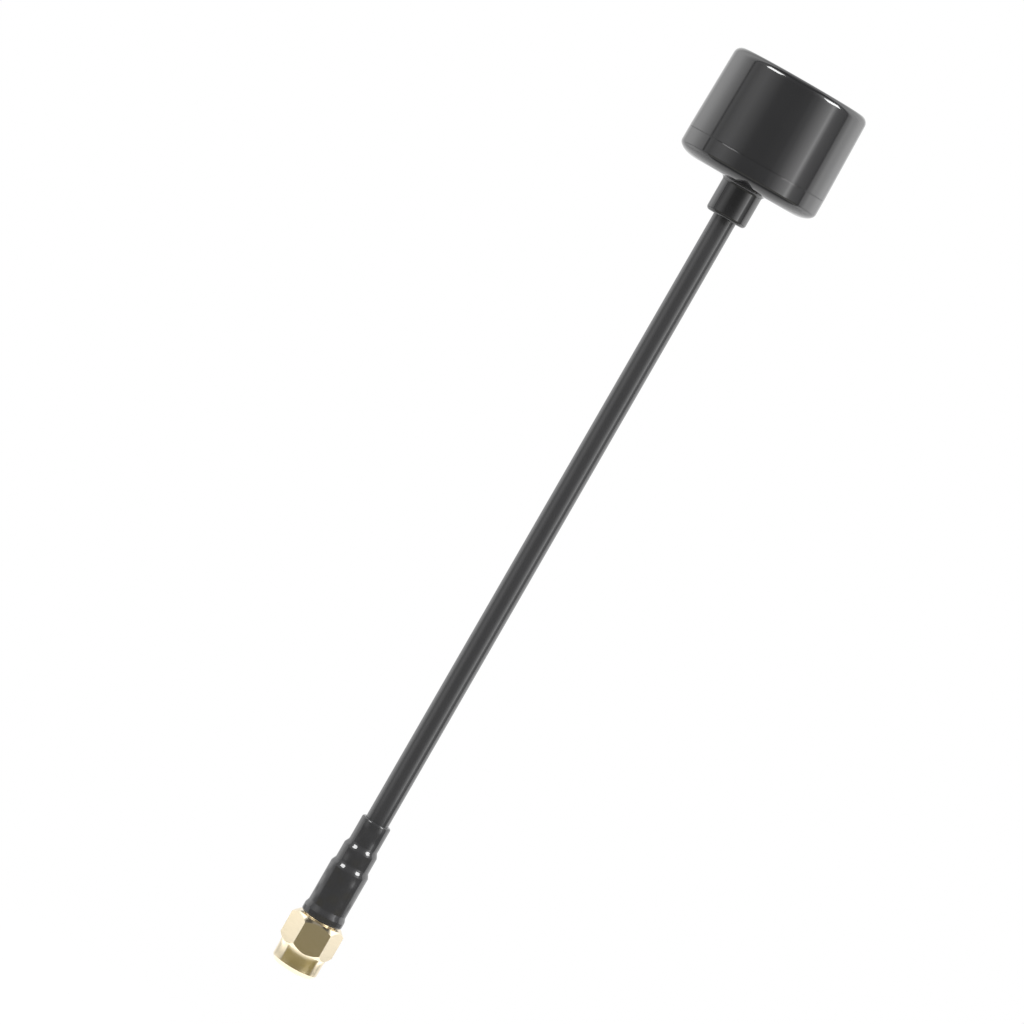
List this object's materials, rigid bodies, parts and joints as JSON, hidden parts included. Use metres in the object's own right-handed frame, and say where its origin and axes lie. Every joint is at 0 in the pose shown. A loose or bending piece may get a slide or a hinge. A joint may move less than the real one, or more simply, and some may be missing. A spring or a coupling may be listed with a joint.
{
  "type": "fpv antenna",
  "caption": "Whip antenna for a video link: round black radome on a stiff coaxial stalk with a gold threaded coaxial plug at its foot.",
  "frame": {"origin": "centre of the coupling nut's mouth, where the plug meets the socket's side of the joint", "axes": "+Z along the stalk from the plug to the radome; the picture is seen along +Y"},
  "size_m": [0.0239, 0.0238, 0.16],
  "materials": {
    "radome_plastic": "moulded black plastic, glossy",
    "jacket_plastic": "extruded black cable jacket, satin gloss",
    "shrink_tube": "shrunk black tube, satin gloss",
    "gold_plate": "gold plated turned brass",
    "spring_bronze": "bare spring bronze",
    "ptfe": "white fluoropolymer, matte",
    "silvered_wire": "silver plated drawn wire",
    "tinned_copper": "tinned copper tube",
    "copper_foil": "etched copper",
    "solder": "solder, bright",
    "board_laminate": "glass laminate",
    "silicone": "red silicone rubber, matte"
  },
  "bodies": {
    "antenna": {"radome_cap": "radome_plastic", "radome_base": "radome_plastic", "top_board": "board_laminate", "middle_board": "board_laminate", "lower_board": "board_laminate", "top_arms": "copper_foil", "middle_arms": "copper_foil", "lower_ring": "copper_foil", "top_solder": "solder", "middle_solder": "solder", "lower_solder": "solder", "cable_core": "silvered_wire", "cable_dielectric": "ptfe", "cable_shield": "tinned_copper", "cable_jacket": "jacket_plastic", "shrink_sleeve": "shrink_tube", "solder_ferrule": "tinned_copper", "plug_body": "gold_plate", "plug_insulator": "ptfe", "contact_pin": "gold_plate", "sealing_gasket": "silicone", "retaining_ring": "spring_bronze"},
    "nut": {"coupling_nut": "gold_plate"}
  },
  "joints": [
    {"name": "nut_spin", "type": "hinge", "parent": "antenna", "child": "nut", "pos_m": [0, 0, 0.008], "axis": [0, 0, 1], "continuous": true}
  ]
}
